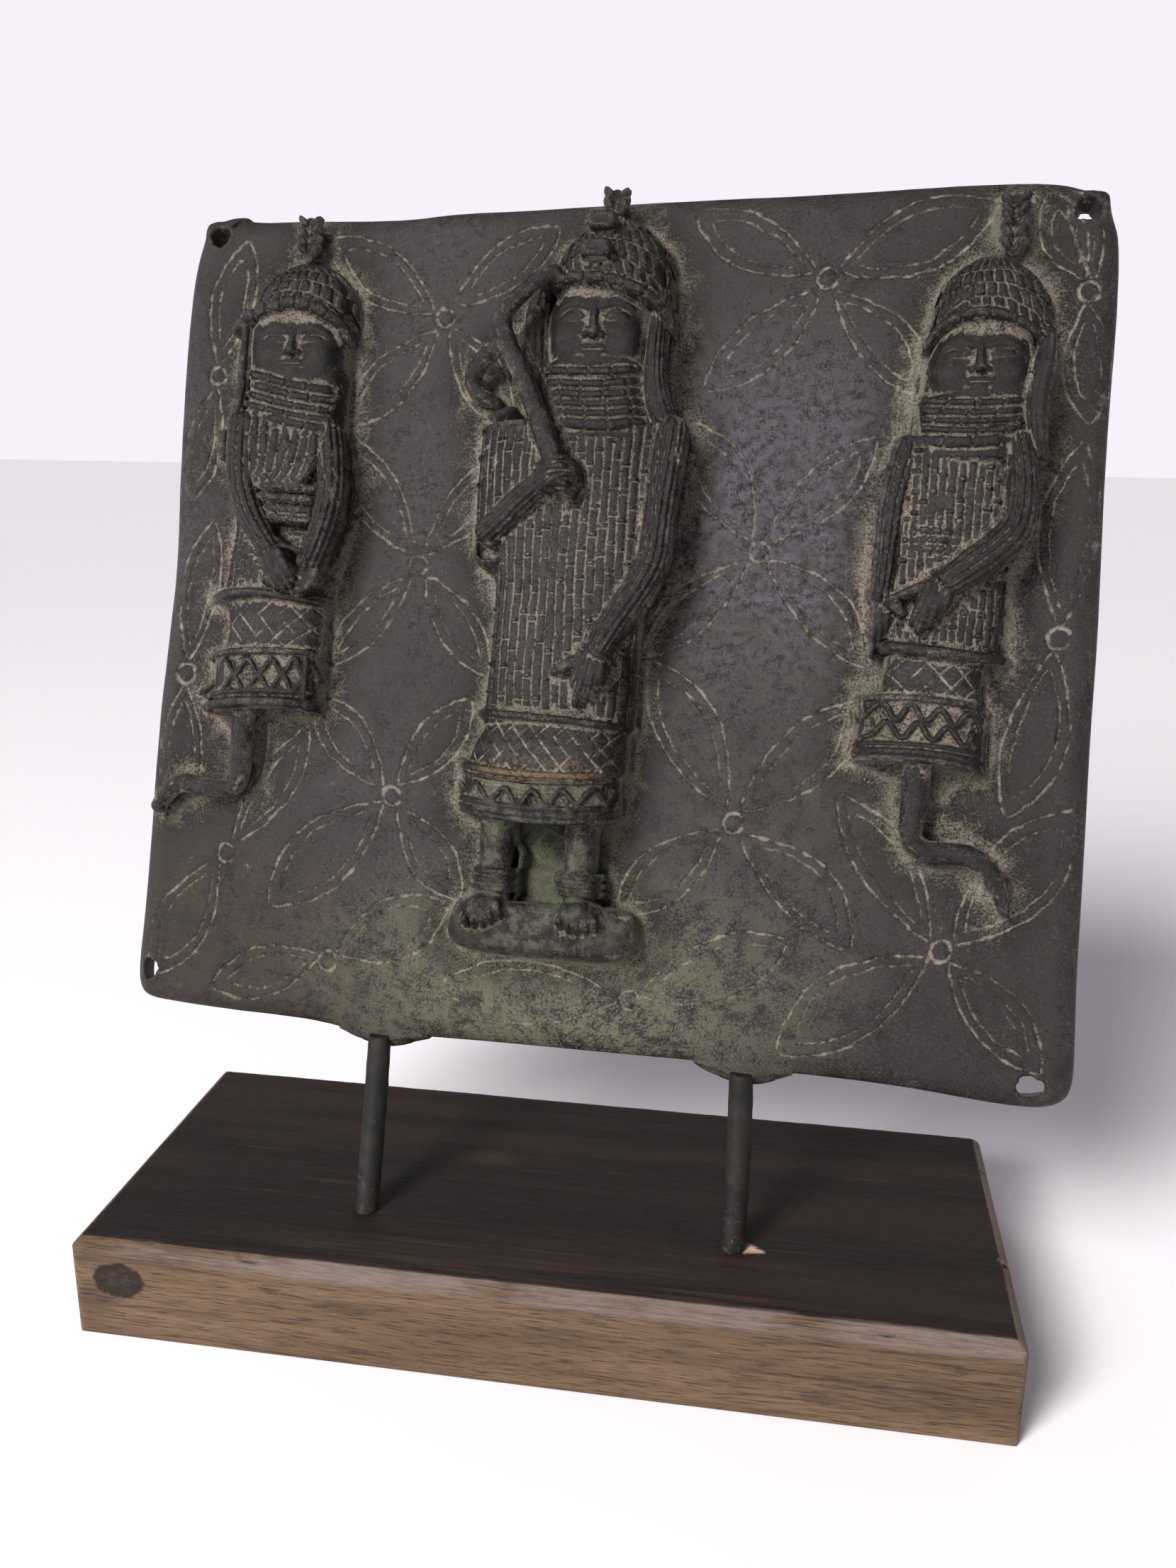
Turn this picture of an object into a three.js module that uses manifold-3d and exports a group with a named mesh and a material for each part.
// Cast bronze relief plaque with three standing figures, held by two iron rods
// in a wooden block.  Millimetres, +Z up, the front of the plaque faces -Y.
import * as THREE from 'three';
import { mergeVertices } from 'three/addons/utils/BufferGeometryUtils.js';
import Module from 'manifold-3d';

const wasm = await Module();
wasm.setup();

// ---------------------------------------------------------------- dimensions
const BASE = { width: 323.8, depth: 127, height: 38.6, chamfer: 3.4, corner: 2.2 };
const PLATE = { halfWidth: 171.4, height: 310.5, wall: 4, flange: 9, roll: 9.5, lip: 3.6 };
const CORNERS = [23, 17, 9.5, 13];              // radii: upper right, upper left, lower left, lower right
const LEAN = THREE.MathUtils.degToRad(17.19);   // top of the plaque leans back
const TWIST = THREE.MathUtils.degToRad(-3.50);  // right side stands a little forward
const TILT = THREE.MathUtils.degToRad(0.46);    // roll of the plate in its own plane
const PLATE_AT = [4.74, -10.96, 96.9];          // middle of the lower edge
const ROD = { radius: 4.25, sunk: 20, gap: 0.3, sides: 12 };
const ROD_FEET = { rod_left: [-65.2, -28.6], rod_right: [67.2, -29.0] };
const ROD_TOPS = { rod_left: [-70.0, 1.2, -4.6], rod_right: [62.5, 1.4, -4.6] }; // in the plate's frame
const BACK_CUT = -2;                            // the relief is rooted this deep in the plate

const COLOURS = {
  bronze: { color: 0x3b3637, roughness: 0.5, metalness: 0.85 },
  iron: { color: 0x1d1b1b, roughness: 0.6, metalness: 0.7 },
  wood: { color: 0x4a3327, roughness: 0.55, metalness: 0 },
};

// ------------------------------------------------------------------- helpers
const V = (x, y, z) => new THREE.Vector3(x, y, z);

function solid(geometry) {
  const g = geometry.clone();
  g.deleteAttribute('normal');
  if (g.attributes.uv) g.deleteAttribute('uv');
  const m = mergeVertices(g, 1e-4);
  const index = Array.from(m.index.array), keep = [];
  for (let i = 0; i < index.length; i += 3) {
    const [a, b, c] = [index[i], index[i + 1], index[i + 2]];
    if (a !== b && b !== c && a !== c) keep.push(a, b, c);
  }
  return new wasm.Manifold(new wasm.Mesh({
    numProp: 3,
    vertProperties: new Float32Array(m.attributes.position.array),
    triVerts: new Uint32Array(keep),
  }));
}

function geometryOf(manifold) {
  const mesh = manifold.getMesh();
  const g = new THREE.BufferGeometry();
  g.setAttribute('position', new THREE.BufferAttribute(new Float32Array(mesh.vertProperties), 3));
  g.setIndex(new THREE.BufferAttribute(new Uint32Array(mesh.triVerts), 1));
  return g;
}

const join = list => list.reduce((a, b) => a.add(b));

// A closed skin through rings of equal length, with flat ends.
function stack(rings) {
  const n = rings[0].length, pos = [], idx = [];
  for (const ring of rings) for (const p of ring) pos.push(p.x, p.y, p.z);
  for (let k = 0; k + 1 < rings.length; k++) {
    for (let i = 0; i < n; i++) {
      const a = k * n + i, b = k * n + (i + 1) % n;
      idx.push(a, b, b + n, a, b + n, a + n);
    }
  }
  const end = (k, flip) => {
    const flat = rings[k].map(p => new THREE.Vector2(p.x, p.y));
    for (const [a, b, c] of THREE.ShapeUtils.triangulateShape(flat, [])) {
      if (flip) idx.push(k * n + a, k * n + c, k * n + b);
      else idx.push(k * n + a, k * n + b, k * n + c);
    }
  };
  end(0, true);
  end(rings.length - 1, false);
  const g = new THREE.BufferGeometry();
  g.setAttribute('position', new THREE.Float32BufferAttribute(pos, 3));
  g.setIndex(idx);
  g.computeVertexNormals();
  return g;
}

// A bar along a path: w(t) is its half width across the plate and h(t) its
// half height off it, with rib(angle) for strands along its length.
function bar({ points, w, h, rib = () => 1, sides = 8, steps = 6, smooth = true }) {
  const pts = points.map(q => V(...q));
  const curve = smooth ? new THREE.CatmullRomCurve3(pts, false, 'centripetal') : null;
  const at = t => {
    if (curve) return curve.getPoint(t);
    const s = Math.min(t * (pts.length - 1), pts.length - 1 - 1e-9), i = Math.floor(s);
    return pts[i].clone().lerp(pts[i + 1], s - i);
  };
  const g = new THREE.CylinderGeometry(1, 1, 1, sides, steps);
  const p = g.attributes.position;
  const wf = typeof w === 'function' ? w : () => w, hf = typeof h === 'function' ? h : () => h;
  for (let i = 0; i < p.count; i++) {
    const t = p.getY(i) + 0.5, r = Math.hypot(p.getX(i), p.getZ(i));
    const ang = Math.atan2(p.getZ(i), p.getX(i));
    const c = at(t), e = 1e-3;
    const T = at(Math.min(1, t + e)).sub(at(Math.max(0, t - e))).normalize();
    const N = T.clone().cross(V(0, 0, 1)).normalize();
    const B = N.clone().cross(T).normalize();
    const k = r > 0.5 ? rib(ang) : 0;
    c.addScaledVector(N, Math.cos(ang) * wf(t) * k).addScaledVector(B, Math.sin(ang) * hf(t) * k);
    p.setXYZ(i, c.x, c.y, c.z);
  }
  return g;
}

function ball([x, y, z], [rx, ry, rz], turn = 0, w = 10, h = 7) {
  const g = new THREE.SphereGeometry(1, w, h);
  g.scale(rx, ry, rz);
  g.rotateZ(turn);
  g.translate(x, y, z);
  return g;
}

function block([x, y, z], [sx, sy, sz], turn = 0) {
  const g = new THREE.BoxGeometry(sx, sy, sz);
  g.rotateZ(turn);
  g.translate(x, y, z);
  return g;
}

const strands = n => ang => 1 - 0.07 * (1 + Math.cos(n * ang)) / 2;

// --------------------------------------------------------------------- plate
// Distance of the edge from its nominal line: the casting's slow waves.
const wave = s => 0.9 * Math.sin(s * 2.0 + 0.6) + 0.6 * Math.sin(s * 5.0 + 2.1) + 0.35 * Math.sin(s * 9.0);

function outline(inset) {
  const pts = [], W = PLATE.halfWidth - inset, lo = inset - 1, hi = PLATE.height - inset;
  const radii = CORNERS.map(R => Math.max(R - inset, 4));
  const corners = radii.map((R, c) => [c === 0 || c === 3 ? W - R : R - W, c < 2 ? hi - R : lo + R]);
  const arc = 4, side = 7;
  for (let c = 0; c < 4; c++) {
    const [cx, cy] = corners[c], R = radii[c];
    for (let i = 0; i < arc; i++) {
      const th = (c + i / (arc - 1)) * Math.PI / 2;
      pts.push([cx + R * Math.cos(th), cy + R * Math.sin(th), th]);
    }
    const n = (c + 1) % 4, [nx, ny] = corners[n];
    const th = (c + 1) * Math.PI / 2;
    const p0 = [cx + R * Math.cos(th), cy + R * Math.sin(th)], p1 = [nx + radii[n] * Math.cos(th), ny + radii[n] * Math.sin(th)];
    for (let i = 1; i < side; i++) {
      const u = i / side;
      pts.push([p0[0] + (p1[0] - p0[0]) * u, p0[1] + (p1[1] - p0[1]) * u, th]);
    }
  }
  return pts.map(([x, y, th]) => {
    const s = Math.atan2(y - PLATE.height / 2, x);
    return [x + Math.cos(th) * wave(s), y + Math.sin(th) * wave(s)];
  });
}

function plate() {
  const { wall, flange, roll, lip } = PLATE;
  const section = [             // inset from the edge, height off the field
    [roll + lip, -wall], [roll - 0.5, -wall - 0.6], [lip + 1.2, -wall - 2.2], [lip, -flange],
    [0.4, -flange], [0, -roll * 0.62], [1.1, -3.1], [3.4, -1.1], [roll, 0],
  ];
  return stack(section.map(([inset, z]) => outline(inset).map(([x, y]) => V(x, y, z))));
}

const HOLES = [ // x, y, half width, half height
  [-157.2, 299.0, 3.9, 3.6], [-164.4, 16.9, 2.9, 3.7], [157.6, 6.2, 4.8, 3.4], [159.6, 299.9, 4.1, 3.7],
];

// ------------------------------------------------------------ parts of a figure
// A turned form through levels [y, a, d]: each an ellipse (or, with square > 2,
// a squarer oval) a wide and d deep.
function turned({ levels, x, z = 0, sides = 12, square = 2, slope = 0, sag = 0, rib = () => 1 }) {
  const g = new THREE.CylinderGeometry(1, 1, 1, sides, levels.length - 1);
  const p = g.attributes.position, e = 2 / square;
  const xf = typeof x === 'function' ? x : () => x;
  for (let i = 0; i < p.count; i++) {
    const t = p.getY(i) + 0.5, r = Math.hypot(p.getX(i), p.getZ(i));
    const k = Math.round(t * (levels.length - 1)), [y, a, d] = levels[k];
    const ang = Math.atan2(p.getZ(i), p.getX(i));
    const u = Math.sign(Math.cos(ang)) * Math.pow(Math.abs(Math.cos(ang)), e);
    const v = Math.sign(Math.sin(ang)) * Math.pow(Math.abs(Math.sin(ang)), e);
    const q = r > 0.5 ? rib(k, ang) : 0;
    const X = a * u * q;
    p.setXYZ(i, xf(t) + X, y + slope * X + (r > 0.5 ? sag * (u * u - 1) : -sag), z + d * v * q);
  }
  return g;
}

// Layered cap: a dome of overlapping courses with a segmented brim.
function cap({ x, top, foot, half, deep, lean = 0, courses = 4 }, brim, brimR) {
  const levels = [], H = top - foot;
  for (let i = 0; i < courses; i++) {
    const k = Math.sqrt(1 - Math.pow(i / courses, 2.3)), up = Math.sqrt(1 - Math.pow((i + 0.85) / courses, 2.3));
    levels.push([foot + H * i / courses, 0.6 + half * k, 0.6 + deep * k]);
    levels.push([foot + H * (i + 0.9) / courses, 0.6 + half * up, 0.6 + deep * up]);
  }
  levels.push([top, half * 0.2, deep * 0.2]);
  return [
    turned({ levels, x: t => x + lean * t, sides: 12, rib: (k, ang) => 1 - 0.03 * ((Math.round(ang * 6 / Math.PI) + (k >> 1)) & 1) }),
    bar({ points: brim, w: brimR, h: brimR * 1.3, sides: 4, steps: 5 }),
  ];
}

// Crest of paired leaves on the cap, each pair wider at its upper end.
function plume({ x, y0, y1, z, rows, spread }) {
  const levels = [], step = (y1 - y0) / rows;
  for (let i = 0; i < rows; i++) {
    const y = y0 + step * i, s = spread * (1 - 0.05 * i);
    levels.push([y - (i ? 0 : 2), s * 0.55, z * 0.7], [y + step * 0.8, s, z]);
  }
  levels.push([y1, spread * 0.5, z * 0.6]);
  return [turned({ levels, x, sides: 6 })];
}

// Head with a calm, evenly proportioned face: thirds from hairline to chin.
function head({ x, chin, hair, half, deep, turn = 0 }) {
  const H = hair - chin, parts = [];
  parts.push(turned({ x, sides: 12, levels: [
    [chin - 3, half * 0.82, deep * 0.86], [chin + 0.3 * H, half * 0.95, deep * 0.96],
    [chin + 0.6 * H, half, deep], [hair + 2, half * 0.97, deep * 0.97],
  ] }));
  const f = x + turn, z = deep * 0.97, eye = half * 0.37;
  parts.push(bar({ points: [[f, chin + 0.66 * H, z], [f, chin + 0.345 * H, z + 2.0]], w: t => 1.1 + 1.5 * t, h: t => 1.2 + 1.4 * t, sides: 6, steps: 1, smooth: false }));
  for (const k of [-1, 1]) {
    const ez = z * Math.sqrt(1 - Math.pow((eye * k + turn) / (half * 1.08), 2));
    parts.push(ball([f + k * eye, chin + 0.575 * H, ez - 0.6], [half * 0.2, H * 0.055, 1.5], 0, 6, 4));
  }
  parts.push(bar({ points: [[f - half * 0.25, chin + 0.2 * H, z - 0.4], [f, chin + 0.205 * H, z + 0.4], [f + half * 0.25, chin + 0.2 * H, z - 0.4]], w: t => 0.5 + 1.0 * Math.sin(Math.PI * t), h: 1.3, sides: 5, steps: 2 }));
  return parts;
}

// Collar of stacked rings, a groove between each row and the next.
function collar({ x, y0, y1, half, deep, rows, slope = 0 }) {
  const levels = [], step = (y1 - y0) / rows;
  for (let i = 0; i < rows; i++) {
    const y = y0 + step * i, k = 1 - 0.008 * i;
    levels.push([y, half * k, deep * k], [y + step * 0.82, half * k * 0.95, deep * k * 0.95]);
  }
  return [turned({ levels, x, sides: 9, slope })];
}

// Coat of vertical rods: a half round body with upright flutes.
function coat({ y0, y1, x0, x1, a0, a1, d0, d1, rods = 9 }) {
  return turned({ levels: [[y0, a0, d0], [y1, a1, d1]], x: t => x0 + (x1 - x0) * t, sides: rods * 4,
    rib: (k, ang) => 1 - 0.05 * (Math.round(ang * rods * 2 / Math.PI) & 1) });
}

// Skirt: a barrel that swells or narrows towards its foot.
function skirt({ y0, y1, x, a0, a1, d0, d1, bulge = 0.12 }) {
  const levels = [0, 0.33, 0.67, 1].map(t => [y0 + (y1 - y0) * t,
    (a0 + (a1 - a0) * t) * (1 + bulge * Math.sin(Math.PI * t) * 0.4), (d0 + (d1 - d0) * t) * (1 + bulge * Math.sin(Math.PI * t))]);
  return turned({ levels, x, sides: 14 });
}

// Hem band with rails above and below and rows of zigzag relief between them.
function hem({ x, y0, y1, half, deep, sag, rows, slope = 0, square = 2.6 }) {
  const rail = 2.1, lo = y0 + 2 * rail + 0.3, hi = y1 - rail;
  const at = (y, grow) => [y, half + grow, deep + grow];
  const levels = [at(y0, 0.1), at(lo - 0.3, 0), at(lo, -1.2)];
  for (let i = 1; i <= rows; i++) levels.push(at(lo + (hi - lo) * i / (rows + 1), -0.9));
  levels.push(at(hi, -1.2), at(hi + 0.3, 0), at(y1, 0));
  return [turned({ x, sides: 16, square, slope, sag, levels,
    rib: (k, ang) => k > 2 && k < 3 + rows ? 1 + 0.035 * ((Math.round(ang * 8 / Math.PI) + k) & 1) : 1 })];
}

// Hand: a flat palm, a tapering sheaf of fingers and a thumb.
function hand({ at, aim, palm = 5, reach = 9, wide = 3.6, z, thumb }) {
  const dir = V(Math.cos(aim), Math.sin(aim), 0);
  const p = (u, h) => [at[0] + dir.x * u, at[1] + dir.y * u, z + h];
  const parts = [bar({ points: [p(-3, -2.6), p(palm * 0.7, -1.2), p(palm + reach * 0.5, -1.6), p(palm * 0.6 + reach, -2.4)],
    w: t => wide * (t < 0.2 ? 0.75 : 1.0 - 0.62 * t), h: t => 3.0 - 1.2 * t, rib: strands(4), sides: 8, steps: 3, smooth: false })];
  if (thumb) parts.push(bar({ points: [p(0.8, -1.2), [thumb[0], thumb[1], z - 2]], w: t => 1.5 - 0.6 * t, h: t => 2.0 - 0.7 * t, sides: 5, steps: 1, smooth: false }));
  return parts;
}

const ring = (a, b, r, h) => bar({ points: [a, b], w: r, h, sides: 6, steps: 1, smooth: false });

// -------------------------------------------------------------- centre figure
function centreFigure() {
  const g = [];
  g.push(...cap({ x: 1.2, top: 298, foot: 262, half: 21.6, deep: 24, lean: -0.6, courses: 3 },
    [[-19.5, 273, 15], [-11, 273.6, 21.5], [0, 273, 24], [10, 270.2, 21.5], [17.5, 265.5, 15], [22, 260, 7]], 1.9));
  g.push(...plume({ x: 1.6, y0: 293.5, y1: 304.5, z: 9, rows: 3, spread: 4.6 }));
  g.push(block([-2.8, 293.6, 17.5], [9.6, 6.2, 8]), block([-4.6, 283.4, 22.2], [11, 6.4, 8]));
  g.push(...head({ x: -2.6, chin: 240, hair: 272, half: 20, deep: 20.5 }));
  g.push(...collar({ x: -1.2, y0: 219.5, y1: 242.2, half: 18.2, deep: 21.5, rows: 5 }));
  // hair strands down both sides of the head
  g.push(bar({ points: [[20.4, 263, 8], [19.6, 246, 10], [20, 232, 10], [24.5, 219, 9]], w: t => 3.6 + 1.6 * t * t, h: 5, rib: strands(4), sides: 8, steps: 4 }));
  g.push(bar({ points: [[-26.5, 264, 3.5], [-26, 248, 4], [-22.5, 234, 5]], w: 3.4, h: 6.5, rib: strands(4), sides: 8, steps: 2 }));
  // coat: chest, then the lower part down to the belt
  g.push(coat({ y0: 172, y1: 221, x0: -6.5, x1: -6, a0: 34.5, a1: 35.5, d0: 18.5, d1: 16.5, rods: 6 }));
  g.push(coat({ y0: 118, y1: 174, x0: -7.5, x1: -7, a0: 26.8, a1: 27.6, d0: 21, d1: 19.5, rods: 6 }));
  // raised arm: thin outline of the upper arm, elbow, forearm and fist
  g.push(bar({ points: [[-42, 219, 6], [-41.8, 196, 7.5], [-40, 177, 8.5]], w: 1.7, h: 4.5, sides: 6, steps: 2 }));
  g.push(ball([-35.8, 176.2, 10], [5.6, 5.2, 9], 0, 8, 6));
  g.push(bar({ points: [[-36, 184, 15.5], [-27, 194, 19.5], [-18.5, 203, 22.5]], w: 4.5, h: 5.5, rib: strands(4), sides: 8, steps: 2 }));
  g.push(ring([-21.8, 206.4, 23], [-11, 211, 25.5], 2.4, 5));
  g.push(ball([-12, 203.2, 21.5], [8.4, 6.8, 7], -0.2, 8, 6));
  // staff: from the brim over the elbow down into the fist
  g.push(bar({ points: [[-19.6, 273.2, 18], [-27, 269, 21], [-33.6, 262.6, 22.5], [-35.3, 257, 23.5], [-32.2, 247.5, 24.5], [-26, 234.5, 25.2], [-19.5, 221, 25], [-14.3, 208, 24]],
    w: t => 2.3 + 1.6 * t, h: t => 2.3 + 1.4 * t, sides: 5, steps: 6 }));
  // curved horn behind the staff, its slab below
  g.push(bar({ points: [[-36.5, 249.5, 12], [-41.5, 246.5, 9], [-46, 241, 7], [-46.6, 234.6, 5.5], [-42, 231.6, 3], [-37.5, 230.4, 1]], w: 2.9, h: 3.6, sides: 6, steps: 6 }));
  g.push(bar({ points: [[-38, 223.6, 3], [-33.5, 224.4, 5.5], [-28.6, 226, 5]], w: t => 0.8 + 1.8 * Math.sin(Math.PI * t), h: 4.5, sides: 6, steps: 3 }));
  // lowered arm, bracelet and hand
  g.push(bar({ points: [[25.4, 218.5, 9], [24.4, 200, 13], [23.6, 184, 15.5], [22.2, 174.5, 17], [16.5, 163.5, 20], [10.5, 153.5, 22], [5.8, 144.5, 23]],
    w: t => 5.1 - 0.9 * t, h: 5.6, rib: strands(4), sides: 8, steps: 4 }));
  g.push(ring([0.6, 144.2, 22.5], [10.4, 138.4, 22.5], 1.7, 6));
  g.push(...hand({ at: [4.6, 139.4], aim: -2.02, palm: 6, reach: 11.6, wide: 4.8, z: 24.2, thumb: [-10, 134.6] }));
  // belt, swelling skirt and hem band
  g.push(bar({ points: [[-35.4, 119.4, 8], [-31, 119.2, 17], [-8, 118.2, 24.5], [15, 116.8, 17], [20, 116.4, 8]], w: 1.25, h: 2.4, sides: 5, steps: 6 }));
  g.push(skirt({ y0: 100.5, y1: 119, x: -9.5, a0: 29, a1: 26.6, d0: 27, d1: 21.5, bulge: 0.1 }));
  g.push(...hem({ x: -12.6, y0: 84, y1: 101.6, half: 28.8, deep: 27, sag: 3.4, rows: 2 }));
  // legs, anklets, feet and plinth
  for (const [x, xa, xf, turn] of [[-26.6, -25.4, -29, 0.28], [4.6, 4.4, 5.2, 0]]) {
    g.push(turned({ levels: [[54, 4.6, 5.6], [88, 5.6, 6.5]], x: t => xa + (x - xa) * t, z: 6.5, sides: 9 }));
    g.push(turned({ x: xa, z: 6.5, sides: 8, levels: [57.4, 61.4].flatMap(y => [[y, 7.5, 8.1], [y + 3.2, 6.7, 7.3]]) }));
    g.push(ball([xf, 51, 10.5], [8, 5.9, 8], turn, 8, 5));
  }
  const slab = new THREE.Shape();
  const [sx0, sx1, sy0, sy1, sr] = [-40.6, 25.4, 37, 54.6, 8];
  slab.moveTo(sx0 + sr, sy0).lineTo(sx1 - sr, sy0).quadraticCurveTo(sx1, sy0, sx1, sy0 + sr).lineTo(sx1, sy1 - sr)
    .quadraticCurveTo(sx1, sy1, sx1 - sr, sy1).lineTo(sx0 + sr, sy1).quadraticCurveTo(sx0, sy1, sx0, sy1 - sr)
    .lineTo(sx0, sy0 + sr).quadraticCurveTo(sx0, sy0, sx0 + sr, sy0);
  const sg = new THREE.ExtrudeGeometry(slab, { depth: 11, bevelEnabled: true, bevelThickness: 3, bevelSize: 2.6, bevelOffset: -2.6, bevelSegments: 1, curveSegments: 3 });
  sg.translate(0, 0, -3);
  g.push(sg);
  return g;
}

// ---------------------------------------------------------------- left figure
function leftFigure() {
  const g = [];
  g.push(...cap({ x: -117.6, top: 284.5, foot: 258, half: 20.2, deep: 17.5, lean: 1.4, courses: 3 },
    [[-138, 262, 5], [-131, 266.6, 12], [-120, 268.8, 17], [-110, 266.8, 16], [-103, 262.8, 11.5], [-97.6, 258, 5]], 1.9));
  g.push(...plume({ x: -114.2, y0: 283, y1: 299, z: 6, rows: 4, spread: 5.2 }));
  g.push(...head({ x: -118, chin: 239, hair: 264, half: 18.6, deep: 15.5, turn: 1.6 }));
  g.push(...collar({ x: -117.4, y0: 221.5, y1: 241, half: 19.4, deep: 16.8, rows: 4, slope: -0.19 }));
  g.push(bar({ points: [[-138.6, 262, 3.5], [-138.8, 240, 4], [-138.6, 224, 4]], w: 1.3, h: 2.4, sides: 6, steps: 2 }));
  g.push(coat({ y0: 158, y1: 227, x0: -120.5, x1: -118.4, a0: 21.4, a1: 20.6, d0: 12.5, d1: 12.5, rods: 5 }));
  g.push(bar({ points: [[-136, 226, 7.5], [-136, 211, 11], [-134.8, 200, 12.5], [-130.6, 189.5, 14.5], [-125, 181, 16], [-121, 176, 17]], w: t => 4.9 - 0.9 * t, h: 5.2, rib: strands(4), sides: 8, steps: 4 }));
  g.push(bar({ points: [[-101.4, 221, 6.5], [-99.4, 206, 10.5], [-99.2, 195, 12.5], [-101.6, 184, 14], [-105.4, 174.5, 15.5]], w: t => 4.0 - 0.4 * t, h: 5.0, rib: strands(4), sides: 8, steps: 4 }));
  g.push(ring([-125.6, 173.6, 16.5], [-118.6, 178.6, 16.5], 1.6, 5));
  g.push(...hand({ at: [-120.6, 174], aim: -0.86, palm: 5.6, reach: 9, wide: 5.2, z: 17, thumb: [-110.4, 176] }));
  g.push(...hand({ at: [-106, 175], aim: -1.95, palm: 5, reach: 6, wide: 4.6, z: 17.5 }));
  g.push(ball([-108, 172, 17.5], [2.6, 2.8, 3], 0, 6, 4));
  g.push(block([-142, 214.5, 3], [3.6, 12, 7], 0.05));
  g.push(bar({ points: [[-140.6, 151.4, 4], [-142.8, 154, 5], [-141.5, 158, 6.5], [-131, 159.8, 11.5], [-118, 159.4, 13.5], [-106, 157.8, 11.5], [-99.6, 157, 5]], w: t => 1.8 - 0.7 * t, h: 3.4, sides: 5, steps: 6 }));
  g.push(skirt({ y0: 137, y1: 161, x: -119.8, a0: 20.4, a1: 20.6, d0: 15.5, d1: 13.5, bulge: -0.1 }));
  g.push(...hem({ x: -120.6, y0: 116.4, y1: 139.6, half: 21.6, deep: 17.5, sag: -2.2, slope: 0.045, rows: 3 }));
  g.push(bar({ points: [[-127, 121, 6], [-127, 104, 6.6], [-127.2, 93, 6.8], [-130.6, 87.8, 6.8], [-140, 87.6, 6.6], [-149, 88.2, 6.2], [-155, 84.4, 5], [-158.6, 78.4, 3.4]],
    w: t => t < 0.45 ? 4.3 : 3.5 - 0.5 * (t - 0.45), h: 5.2, sides: 6, steps: 8 }));
  return g;
}

// --------------------------------------------------------------- right figure
function rightFigure() {
  const g = [];
  g.push(...cap({ x: 130.2, top: 282, foot: 250, half: 20.2, deep: 17.5, lean: 0.6, courses: 3 },
    [[111.8, 252.6, 5], [117, 258.2, 12], [125, 260.6, 16.8], [133.4, 260, 16.5], [140.6, 256.6, 12], [146.6, 251.4, 6]], 1.5));
  g.push(...plume({ x: 135.3, y0: 280, y1: 299.5, z: 6, rows: 4, spread: 5.4 }));
  g.push(...head({ x: 128.2, chin: 231, hair: 257, half: 18.8, deep: 15.5, turn: -1.4 }));
  g.push(...collar({ x: 125.4, y0: 216, y1: 232.4, half: 16.8, deep: 17, rows: 4, slope: 0.01 }));
  g.push(bar({ points: [[148.4, 252, 5], [147.2, 236, 7.5], [146.4, 222, 7.5], [147.4, 213, 5.5]], w: t => 3.5 - 0.8 * t, h: 5, rib: strands(4), sides: 8, steps: 3 }));
  g.push(coat({ y0: 149, y1: 217.5, x0: 119.8, x1: 122, a0: 20, a1: 19.6, d0: 13.5, d1: 12.5, rods: 5 }));
  g.push(bar({ points: [[105, 215.5, 5], [101.6, 203, 7.5], [100.2, 188, 9], [99, 163, 9.5]], w: t => 4.2 - 1.0 * t, h: 4.6, rib: strands(4), sides: 8, steps: 3 }));
  g.push(ring([95.4, 165.8, 8.5], [102, 165, 9.5], 1.8, 5));
  g.push(...hand({ at: [98.8, 163], aim: -1.55, palm: 5, reach: 12.6, wide: 3.6, z: 11, thumb: [106.4, 160.8] }));
  g.push(bar({ points: [[140.2, 217, 7], [142.8, 205, 11], [142.4, 193, 13.5], [139, 184.5, 15.5], [130.5, 177.6, 17], [122.4, 171.4, 18]], w: t => 4.4 + 0.3 * t, h: 5.2, rib: strands(4), sides: 8, steps: 4 }));
  g.push(ring([117, 173.6, 17.5], [126, 168.2, 17.5], 1.5, 5.2));
  g.push(...hand({ at: [119.6, 168], aim: -2.2, palm: 5.6, reach: 10.6, wide: 5.4, z: 16.2, thumb: [106, 165.8] }));
  g.push(bar({ points: [[100.4, 149, 3], [104, 148.8, 8.5], [119, 147.6, 13.5], [134, 146.4, 9], [139.6, 146, 3]], w: 2.0, h: 3.8, sides: 6, steps: 6 }));
  g.push(skirt({ y0: 130, y1: 148, x: 117.6, a0: 17, a1: 16.4, d0: 15.5, d1: 13.5, bulge: -0.1 }));
  g.push(...hem({ x: 114.8, y0: 109.2, y1: 132.6, half: 21.2, deep: 17.5, sag: -2.4, slope: -0.06, rows: 3 }));
  g.push(bar({ points: [[114.6, 114, 6], [114.4, 98, 6.8], [113.4, 88, 7], [117, 82.2, 7], [127, 82, 6.8], [135, 80.8, 6.6], [140.4, 74.6, 6], [144.4, 67, 5], [145.4, 62, 3]],
    w: t => t < 0.4 ? 4.5 : 3.7 - 1.6 * (t - 0.4), h: t => 5.4 - 1.2 * t, sides: 6, steps: 8 }));
  return g;
}

// ------------------------------------------------------------------- assembly
const stand = new THREE.Group();
stand.name = 'relief_plaque';

// frame of the plate: x across, y up its face, z out of its front
const place = new THREE.Group();
place.position.set(...PLATE_AT);
place.rotation.set(0, 0, TWIST);
const lean = new THREE.Group();
lean.rotation.set(Math.PI / 2 - LEAN, 0, 0);
const turn = new THREE.Group();
turn.rotation.set(0, 0, TILT);
place.add(lean);
lean.add(turn);
stand.add(place);
stand.updateMatrixWorld(true);
const toPlate = turn.matrixWorld.clone().invert();

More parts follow.
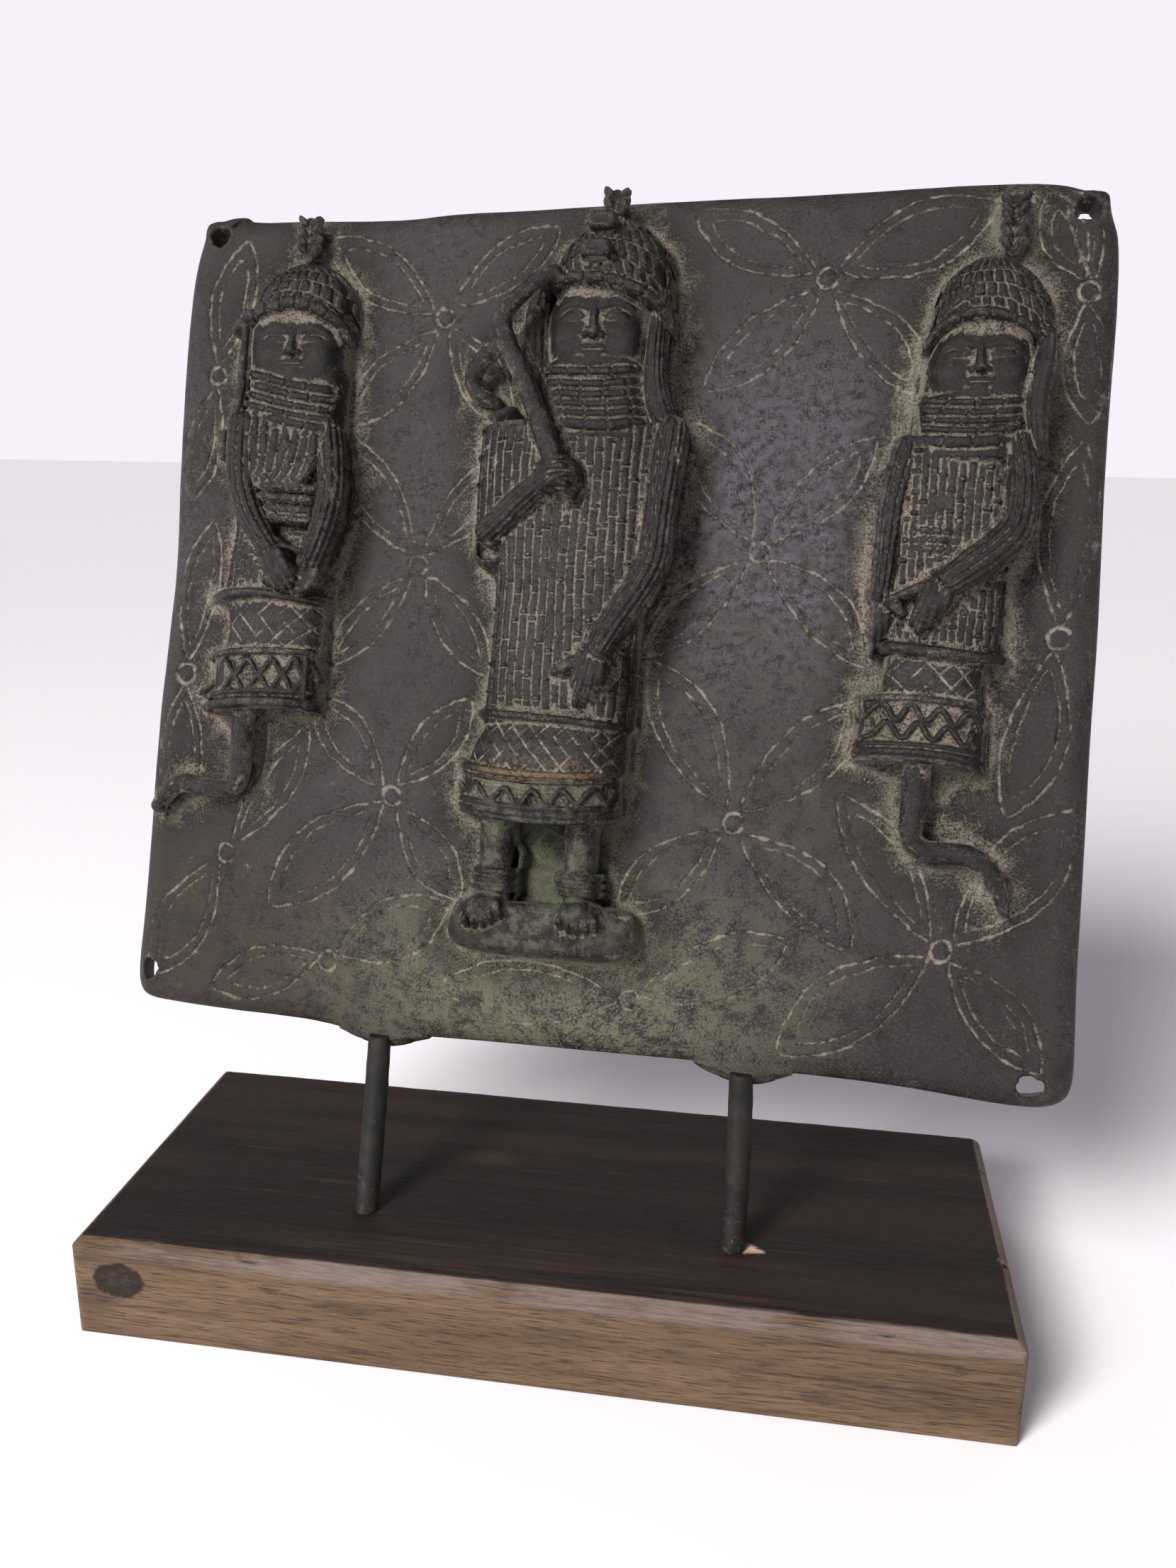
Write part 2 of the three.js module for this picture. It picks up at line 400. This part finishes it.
function rodBetween(name, extra = 0, beyond = 0) {
  const foot = V(...ROD_FEET[name], BASE.height);
  const top = V(...ROD_TOPS[name]).applyMatrix4(turn.matrixWorld);
  const along = top.clone().sub(foot).normalize();
  const start = foot.clone().addScaledVector(along, -ROD.sunk - extra);
  const length = start.distanceTo(top) + beyond;
  const g = new THREE.CylinderGeometry(ROD.radius + extra, ROD.radius + extra, length, ROD.sides, 1);
  g.translate(0, length / 2, 0);
  g.applyQuaternion(new THREE.Quaternion().setFromUnitVectors(V(0, 1, 0), along));
  g.translate(start.x, start.y, start.z);
  return g;
}

// plaque: plate and relief are one casting
const behind = solid(block([0, 150, BACK_CUT - 60], [500, 500, 120]));
let relief = join([...centreFigure(), ...leftFigure(), ...rightFigure()].map(solid)).subtract(behind);
let casting = solid(plate()).add(relief);
for (const name of Object.keys(ROD_TOPS)) {
  const [x, y, z] = ROD_TOPS[name];
  casting = casting.add(solid(ball([x, y - 1.2, z], [13, 3.4, 5.4], 0, 10, 6)));
  casting = casting.subtract(solid(rodBetween(name, ROD.gap, ROD.gap).applyMatrix4(toPlate)));
}
for (const [x, y, rx, ry] of HOLES) {
  const g = new THREE.CylinderGeometry(1, 1, 30, 12, 1);
  g.rotateX(Math.PI / 2);
  g.scale(rx, ry, 1);
  g.translate(x, y, 0);
  casting = casting.subtract(solid(g));
}

// wooden block, its upper edges chamfered, drilled for the rods
function blockRing(inset, z) {
  const pts = [], W = BASE.width / 2 - inset, D = BASE.depth / 2 - inset, R = Math.max(BASE.corner - inset * 0.4, 0.6);
  for (let c = 0; c < 4; c++) {
    const cx = (c === 0 || c === 3 ? 1 : -1) * (W - R), cy = (c < 2 ? 1 : -1) * (D - R);
    for (let i = 0; i < 4; i++) {
      const th = (c + i / 3) * Math.PI / 2;
      pts.push(V(cx + R * Math.cos(th), cy + R * Math.sin(th), z));
    }
  }
  return pts;
}
let wood = solid(stack([
  blockRing(0, 0), blockRing(0, BASE.height - BASE.chamfer), blockRing(BASE.chamfer, BASE.height),
]));
for (const name of Object.keys(ROD_FEET)) wood = wood.subtract(solid(rodBetween(name, ROD.gap)));

const material = m => new THREE.MeshStandardMaterial(COLOURS[m]);
const piece = (name, geometry, m, parent) => {
  geometry.computeVertexNormals();
  const mesh = new THREE.Mesh(geometry, material(m));
  mesh.name = name;
  parent.add(mesh);
  return mesh;
};
piece('plaque', geometryOf(casting), 'bronze', turn);
piece('rod_left', rodBetween('rod_left'), 'iron', stand);
piece('rod_right', rodBetween('rod_right'), 'iron', stand);
piece('base', geometryOf(wood), 'wood', stand);

export default stand;
